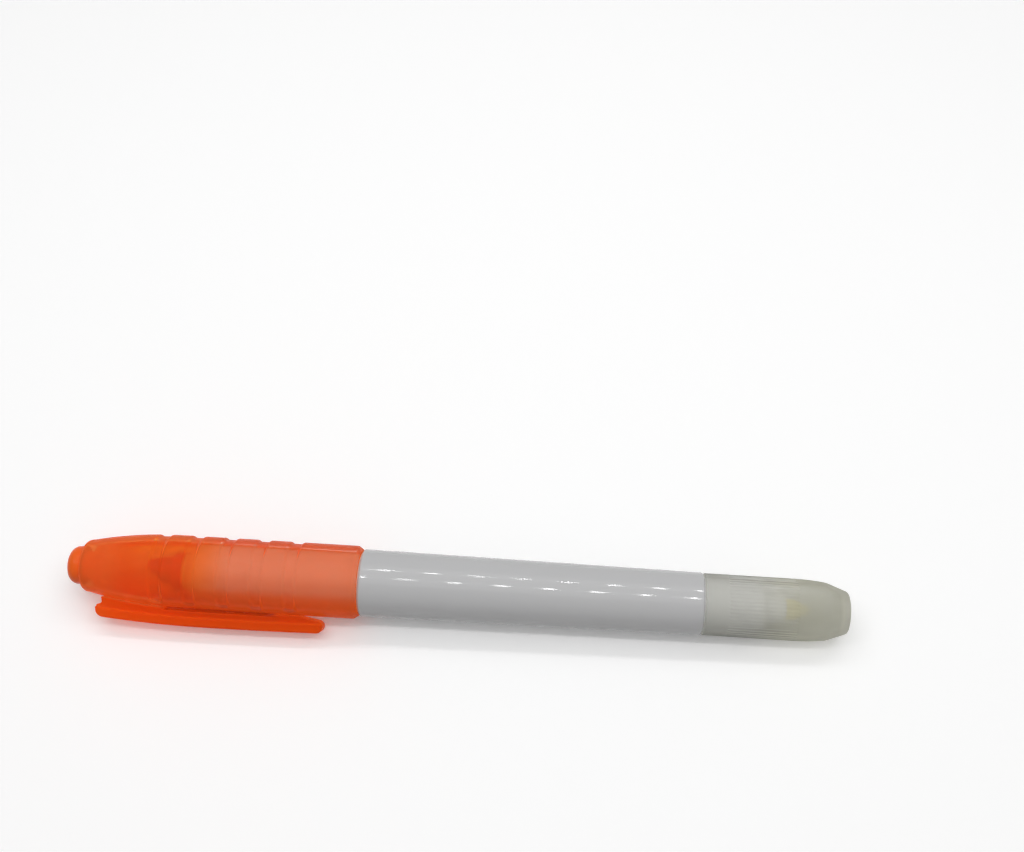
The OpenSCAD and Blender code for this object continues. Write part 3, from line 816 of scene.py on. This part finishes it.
def model_clip(cap, clip):
    """The pocket clip: three rows bridged to a strip, thickened to the web, its back widened."""
    rows = [[Vector((PLUG_TIP + s, 0.0, h)) for s, h in row] for row in clip_rows(cap, clip)]
    for row in rows:
        draw_chain(row)
    piece = bpy.context.object
    piece.name = "clip"
    for wanted in (rows[0] + rows[1], rows[1] + rows[2]):
        pick("VERT", lambda v: any((v.co - p).length < 0.002 * MM for p in wanted))
        bpy.ops.mesh.select_mode(type="EDGE")
        bpy.ops.mesh.bridge_edge_loops()
    bpy.ops.object.mode_set(mode="OBJECT")
    apply_modifier(piece, "Web", "SOLIDIFY", {"thickness": clip.web_width, "offset": 0.0})
    bpy.ops.object.mode_set(mode="EDIT")
    close_up()
    start, end = slit_ends(clip)
    pick("VERT", lambda v: v.co.y > 0.0 and start < v.co.x < end - 0.1 * MM
         and cap.radius < v.co.z < cap.radius + clip.back_thickness / 2)
    bpy.ops.transform.translate(value=(0.0, 0.0, clip.slit_cant))
    step = (clip.back_width - clip.web_width) / 2
    droop = clip.crest - math.sqrt(clip.crest ** 2 - (clip.back_width / 2) ** 2)
    seat = rows[1]

    def seat_height(x):
        for a, b in zip(seat, seat[1:]):
            if a.x <= x <= b.x:
                return a.z + (b.z - a.z) * (x - a.x) / max(b.x - a.x, 1e-9)
        return seat[0].z if x < seat[0].x else seat[-1].z

    for side in (-1.0, 1.0):
        def on_flank(face):
            middle = face.calc_center_median()
            return (face.normal.y * side > 0.9 and middle.z > seat_height(middle.x)
                    and abs(middle.y) < clip.web_width)
        pick("FACE", on_flank)
        bpy.ops.mesh.extrude_region_move(
            TRANSFORM_OT_translate={"value": (0.0, side * step, -droop)})
    # The foot narrows towards its tip: shares of the foot's rounding, and of the width
    tip = PLUG_TIP + clip.foot_place - clip.foot_round
    for reach, width in ((0.35, 0.97), (0.7, 0.9), (0.95, 0.78)):
        pick("VERT", lambda v: v.co.x > tip + reach * clip.foot_round
             and abs(v.co.y) > clip.web_width * 0.6)
        bpy.ops.transform.resize(value=(1.0, width, 1.0), center_override=(0.0, 0.0, 0.0))
    close_up()
    bpy.ops.object.mode_set(mode="OBJECT")
    apply_modifier(piece, "Grid", "REMESH", {"mode": "VOXEL", "voxel_size": clip.edge})
    apply_modifier(piece, "Edges", "SMOOTH", {"factor": 0.5, "iterations": 2})
    piece.location = (0.0, AXIS.y, AXIS.z)
    piece.rotation_euler = (clip.roll, 0.0, 0.0)
    select_only(piece)
    bpy.ops.object.transform_apply()
    return piece


class HIGHLIGHTER_OT_orange_cap(bpy.types.Operator):
    """Models the coloured cap with its finger grooves and its pocket clip"""

    bl_idname = "highlighter.orange_cap"
    bl_label = "Orange Cap"

    def execute(self, context):
        cap = context.scene.orange_cap_sizes
        clip_sizes = context.scene.pocket_clip_sizes
        piece = turn_outline("orange_cap", cap_outline(cap), CAP_STEPS)
        sink(piece, "Finger grooves", cap.groove_depth, groove_weight(cap, clip_sizes))
        clip = model_clip(cap, clip_sizes)
        apply_modifier(piece, "Clip", "BOOLEAN", {
            "operation": "UNION", "solver": "EXACT", "object": clip})
        bpy.data.objects.remove(clip)
        settle(piece, "highlighter_cap", "orange_plastic",
               orange_plastic(context.scene.finish_colours, cap, clip_sizes), "highlighter_cap")
        return {"FINISHED"}


def frosted_outline(cap):
    """Closed outline of the frosted cap's wall, from its mouth to its closed end and back inside."""
    total = ERASER_END - ERASER_MOUTH
    cone = total - cap.cone_length
    run = cap.flute_run
    stop = cap.flute_start + cap.flute_length

    def bow(z):
        return cap.radius - cap.bow_drop * max(0.0, (z - cap.bow_start) / (cone - cap.bow_start)) ** 2

    mouth = arc((cap.mouth_round, cap.radius - cap.mouth_round), cap.mouth_round, -90.0, 0.0, 6)
    places = [2.0 * MM, cap.flute_start - run]
    places += spread(cap.flute_start, cap.flute_start + run, 5)
    places += spread(cap.flute_start + 2 * run, stop - 2 * run, 8)
    places += spread(stop - run, stop, 5)
    places += spread(cap.bow_start + 0.2 * MM, cone - 0.25 * MM, 10)
    outside = [(z, bow(z)) for z in places]
    shoulder = [(cone + 0.2 * MM, bow(cone) - 0.12 * MM)]
    slope = math.degrees(math.atan2(bow(cone) - cap.end_radius, cap.cone_length))
    rim = arc((total - cap.end_round, cap.end_radius - cap.end_round), cap.end_round, slope, 90.0, 7)
    # The closed end, with a shallow round mark in its middle
    end = [(total, 1.2 * MM), (total - 0.06 * MM, 1.0 * MM), (total - 0.06 * MM, 0.0)]
    inner_end = total - cap.end_wall
    inside = [(inner_end, 0.0), (inner_end, cap.end_radius - cap.wall - 0.3 * MM),
              (inner_end - 0.15 * MM, cap.end_radius - cap.wall)]
    inside += [(z, bow(z) - cap.wall) for z in spread(cone, cap.bow_start, 8)]
    inside += [(z, cap.radius - cap.wall) for z in spread(cap.bow_start, 0.0, 8)[1:]]
    outline = mouth + outside + shoulder + rim + end + inside + mouth[:1]
    return [(ERASER_MOUTH + z, r) for z, r in outline]


class HIGHLIGHTER_OT_frosted_cap(bpy.types.Operator):
    """Models the frosted cap with its fine flutes"""

    bl_idname = "highlighter.frosted_cap"
    bl_label = "Frosted Cap"

    def execute(self, context):
        cap = context.scene.frosted_cap_sizes
        piece = turn_outline("frosted_cap", frosted_outline(cap), cap.flutes * FLUTE_STEPS)
        start = ERASER_MOUTH + cap.flute_start
        stop = start + cap.flute_length

        def weight(point):
            across = Vector((point.y - AXIS.y, point.z - AXIS.z))
            if across.length < cap.radius - 0.5 * cap.wall:
                return 0.0
            runs = smoothstep(start, start + cap.flute_run, point.x) \
                * (1.0 - smoothstep(stop - cap.flute_run, stop, point.x))
            turn = math.atan2(across.x, across.y) * cap.flutes
            return runs * (0.5 - 0.5 * math.cos(turn))

        sink(piece, "Flutes", cap.flute_depth, weight)
        settle(piece, "eraser_cap", "frosted_plastic",
               frosted_plastic(context.scene.finish_colours), "eraser_cap")
        return {"FINISHED"}


class HIGHLIGHTER_OT_nibs(bpy.types.Operator):
    """Models the chisel nib and the eraser nib in felt"""

    bl_idname = "highlighter.nibs"
    bl_label = "Nibs"

    def chisel(self, sizes):
        """Bar cut to two flats, two bevels and a slanted tip."""
        clear_selection()
        middle = ((CHISEL_TAIL + CHISEL_TIP) / 2, AXIS.y, AXIS.z)
        bpy.ops.mesh.primitive_cylinder_add(
            vertices=CHISEL_STEPS, radius=sizes.chisel_radius, depth=CHISEL_TAIL - CHISEL_TIP,
            location=middle, rotation=(0.0, math.pi / 2, 0.0))
        piece = bpy.context.object
        piece.name = "chisel_nib"
        bpy.ops.object.transform_apply()
        bpy.ops.object.mode_set(mode="EDIT")
        drop = (sizes.chisel_thickness - sizes.chisel_edge) / 2
        cuts = []
        for side in (-1.0, 1.0):
            cuts.append(((CHISEL_TAIL, AXIS.y + side * sizes.chisel_thickness / 2, AXIS.z),
                         Vector((0.0, side, 0.0))))
            cuts.append(((CHISEL_TIP, AXIS.y + side * sizes.chisel_edge / 2, AXIS.z),
                         Vector((-drop, side * sizes.chisel_bevel, 0.0)).normalized()))
        cuts.append(((CHISEL_TIP, AXIS.y, AXIS.z + sizes.chisel_radius * 0.75),
                     Vector((-math.cos(sizes.chisel_slant), 0.0, -math.sin(sizes.chisel_slant)))))
        for place, normal in cuts:
            bpy.ops.mesh.select_all(action="SELECT")
            bpy.ops.mesh.bisect(plane_co=place, plane_no=normal, use_fill=True, clear_outer=True)
        close_up()
        bpy.ops.object.mode_set(mode="OBJECT")
        return piece

    def bullet(self, sizes):
        """Round nib with a tapered, rounded tip."""
        tip = (BULLET_TIP - sizes.bullet_tip, 0.0)
        taper = BULLET_TIP - sizes.bullet_taper
        outline = [(BULLET_TAIL, 0.0), (BULLET_TAIL, sizes.bullet_radius - 0.5 * MM),
                   (BULLET_TAIL + 1.0 * MM, sizes.bullet_radius)]
        outline += [(x, sizes.bullet_radius) for x in spread(BULLET_TAIL + 1.4 * MM, taper, 20)]
        outline += arc(tip, sizes.bullet_tip, 20.0, 90.0, 10)
        return turn_outline("bullet_nib", outline, BULLET_STEPS)

    def roughen(self, piece, sizes):
        """Softens the edges and gives the felt its uneven surface."""
        apply_modifier(piece, "Grid", "REMESH", {"mode": "VOXEL", "voxel_size": sizes.grid})
        apply_modifier(piece, "Softening", "SMOOTH", {"factor": 0.5, "iterations": sizes.softening})
        texture = bpy.data.textures.new("felt", "CLOUDS")
        texture.noise_scale = sizes.tufts
        apply_modifier(piece, "Fibres", "DISPLACE", {
            "texture": texture, "texture_coords": "LOCAL", "strength": sizes.roughening,
            "mid_level": 1.0})

    def execute(self, context):
        sizes = context.scene.nib_sizes
        colours = context.scene.finish_colours
        chisel = self.chisel(sizes)
        self.roughen(chisel, sizes)
        settle(chisel, "pen", "orange_felt",
               felt("ink_felt", colours.ink_felt, NIB_FIBRES), "highlighter_nib")
        bullet = self.bullet(sizes)
        self.roughen(bullet, sizes)
        settle(bullet, "pen", "cream_felt",
               felt("cream_felt", colours.cream_felt, NIB_FIBRES), "eraser_nib")
        return {"FINISHED"}


class HIGHLIGHTER_OT_finishes(bpy.types.Operator):
    """Gives the parts that keep their CAD shape their materials"""

    bl_idname = "highlighter.finishes"
    bl_label = "Finishes"

    def execute(self, context):
        colours = context.scene.finish_colours
        natural = natural_plastic(colours)
        film = film_plastic(colours)
        finishes = {
            "barrel": glossy_white(colours),
            "cap_end_plug": plug_plastic(colours),
            "highlighter_section": natural,
            "eraser_section": natural,
            "divider": natural,
            "ink_reservoir": felt("ink_fibre", colours.ink_fibre, CORE_FIBRES),
            "eraser_reservoir": felt("eraser_fibre", colours.eraser_fibre, CORE_FIBRES),
            "ink_reservoir_film": film,
            "eraser_reservoir_film": film,
        }
        for name, material in finishes.items():
            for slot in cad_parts[name].material_slots:
                slot.material = material
        return {"FINISHED"}


class HIGHLIGHTER_OT_stage(bpy.types.Operator):
    """Sets up the floor, the lamps and the camera"""

    bl_idname = "highlighter.stage"
    bl_label = "Stage"

    def floor(self, settings):
        """Pale floor under the pen, tilted a little so that the slimmer end lies on it too."""
        clear_selection()
        bpy.ops.mesh.primitive_plane_add(size=FLOOR_SIDE, location=(CAP_REST, 0.0, 0.0))
        floor = bpy.context.object
        floor.name = "floor"
        drop = AXIS.z - bpy.context.scene.frosted_cap_sizes.radius
        floor.rotation_euler = (0.0, -math.atan2(drop, END_REST - CAP_REST), 0.0)
        graph = new_material("pale_floor")
        seen = self.seen_directly(graph)
        away = graph.vector_maths("LENGTH", {0: graph.object_place()})
        far = graph.between(away, GLOW_CHANGE)
        white = graph.mix_colour(far, settings.floor_glow, settings.far_glow)
        floor.data.materials.append(graph.finish(graph.principled({
            "Base Color": graph.mix_colour(seen, settings.floor_bounce, settings.floor),
            "Roughness": 0.9,
            "Specular IOR Level": 0.0,
            "Emission Color": graph.mix_colour(seen, (0.0, 0.0, 0.0), white),
            "Emission Strength": 1.0})))

    def seen_directly(self, graph):
        """1 for rays that show the background: from the camera, off gloss and through clear parts."""
        camera, glossy, through = (graph.node("ShaderNodeLightPath", output=i) for i in (0, 3, 6))
        return graph.node("ShaderNodeMath", {"operation": "ADD", "use_clamp": True},
                          {0: camera, 1: glossy + through})

    def sky(self, settings):
        """Even light all round, white where it is seen."""
        world = bpy.data.worlds.new("studio")
        bpy.context.scene.world = world
        graph = Graph(world)
        seen = self.seen_directly(graph)
        glow = graph.node("ShaderNodeBackground", sockets={
            "Color": (1.0, 1.0, 1.0), "Strength": settings.sky + seen * (1.0 - settings.sky)})
        graph.node("ShaderNodeOutputWorld", sockets={"Surface": glow})

    def put(self, name, data, place):
        """Adds a lamp or a camera to the scene."""
        item = bpy.data.objects.new(name, data)
        item.location = place
        bpy.context.scene.collection.objects.link(item)
        return item

    def lamp(self, settings):
        """Wide soft lamp overhead."""
        data = bpy.data.lights.new("wide_lamp", "AREA")
        data.shape = "SQUARE"
        data.size = settings.lamp_size
        data.energy = settings.lamp_power
        self.put("wide_lamp", data, (0.0, settings.lamp_setback, settings.lamp_height))

    def diodes(self, settings):
        """Two rows of small lamps, which the glossy barrel shows as two rows of short glints."""
        graph = new_material("diode")
        glow = graph.node("ShaderNodeEmission", sockets={"Strength": settings.diode_glow})
        material = graph.finish(glow)
        pitch = settings.diode_pitch
        for name, side, shift in DIODE_ROWS:
            clear_selection()
            first = -pitch * (settings.diode_count - 1) / 2 + shift * pitch
            bpy.ops.mesh.primitive_plane_add(size=1.0, location=(first, side, settings.diode_height))
            row = bpy.context.object
            row.name = name
            row.scale = DIODE_SIZE
            bpy.ops.object.transform_apply()
            apply_modifier(row, "Row", "ARRAY", {
                "count": settings.diode_count, "use_relative_offset": False,
                "use_constant_offset": True, "constant_offset_displace": (pitch, 0.0, 0.0)})
            row.data.materials.append(material)
            row.visible_camera = False
            row.visible_shadow = False
            row.visible_transmission = False

    def camera(self, settings):
        """Camera at the photograph's angle."""
        data = bpy.data.cameras.new("camera")
        data.sensor_fit = "HORIZONTAL"
        data.sensor_width = 36.0
        data.lens = settings.lens
        data.clip_start = 0.005
        place = Vector(settings.camera_place)
        camera = self.put("camera", data, place)
        gaze = Vector(settings.camera_aim) - place
        camera.rotation_euler = gaze.to_track_quat("-Z", "Y").to_euler()
        bpy.context.scene.camera = camera

    def execute(self, context):
        settings = context.scene.stage_settings
        self.floor(settings)
        self.sky(settings)
        self.lamp(settings)
        self.diodes(settings)
        self.camera(settings)
        context.scene.view_settings.view_transform = "Standard"
        return {"FINISHED"}


class HIGHLIGHTER_PT_panel(bpy.types.Panel):
    """Lists the pieces in the order in which they are made"""

    bl_idname = "HIGHLIGHTER_PT_panel"
    bl_label = "Highlighter"
    bl_space_type = "VIEW_3D"
    bl_region_type = "UI"
    bl_category = "Highlighter"

    def draw(self, context):
        for operator in OPERATORS:
            self.layout.operator(operator.bl_idname)
        for name in SETTINGS:
            group = getattr(context.scene, name)
            column = self.layout.column(heading=label(name))
            for key in group.bl_rna.properties.keys():
                if key not in ("rna_type", "name"):
                    column.prop(group, key)


SETTINGS = {
    "orange_cap_sizes": OrangeCapSizes,
    "pocket_clip_sizes": PocketClipSizes,
    "frosted_cap_sizes": FrostedCapSizes,
    "nib_sizes": NibSizes,
    "finish_colours": FinishColours,
    "stage_settings": StageSettings,
}

OPERATORS = (
    HIGHLIGHTER_OT_orange_cap,
    HIGHLIGHTER_OT_frosted_cap,
    HIGHLIGHTER_OT_nibs,
    HIGHLIGHTER_OT_finishes,
    HIGHLIGHTER_OT_stage,
)


def register():
    for group in SETTINGS.values():
        for key, entry in group.__annotations__.items():
            entry.keywords["name"] = label(key)
        bpy.utils.register_class(group)
    for name, group in SETTINGS.items():
        setattr(bpy.types.Scene, name, bpy.props.PointerProperty(type=group))
    for operator in OPERATORS:
        bpy.utils.register_class(operator)
    bpy.utils.register_class(HIGHLIGHTER_PT_panel)


def unregister():
    bpy.utils.unregister_class(HIGHLIGHTER_PT_panel)
    for operator in reversed(OPERATORS):
        bpy.utils.unregister_class(operator)
    for name in SETTINGS:
        delattr(bpy.types.Scene, name)
    for group in reversed(list(SETTINGS.values())):
        bpy.utils.unregister_class(group)


def main():
    register()
    bpy.ops.highlighter.orange_cap()
    bpy.ops.highlighter.frosted_cap()
    bpy.ops.highlighter.nibs()
    bpy.ops.highlighter.finishes()
    bpy.ops.highlighter.stage()


if __name__ == "__main__":
    main()
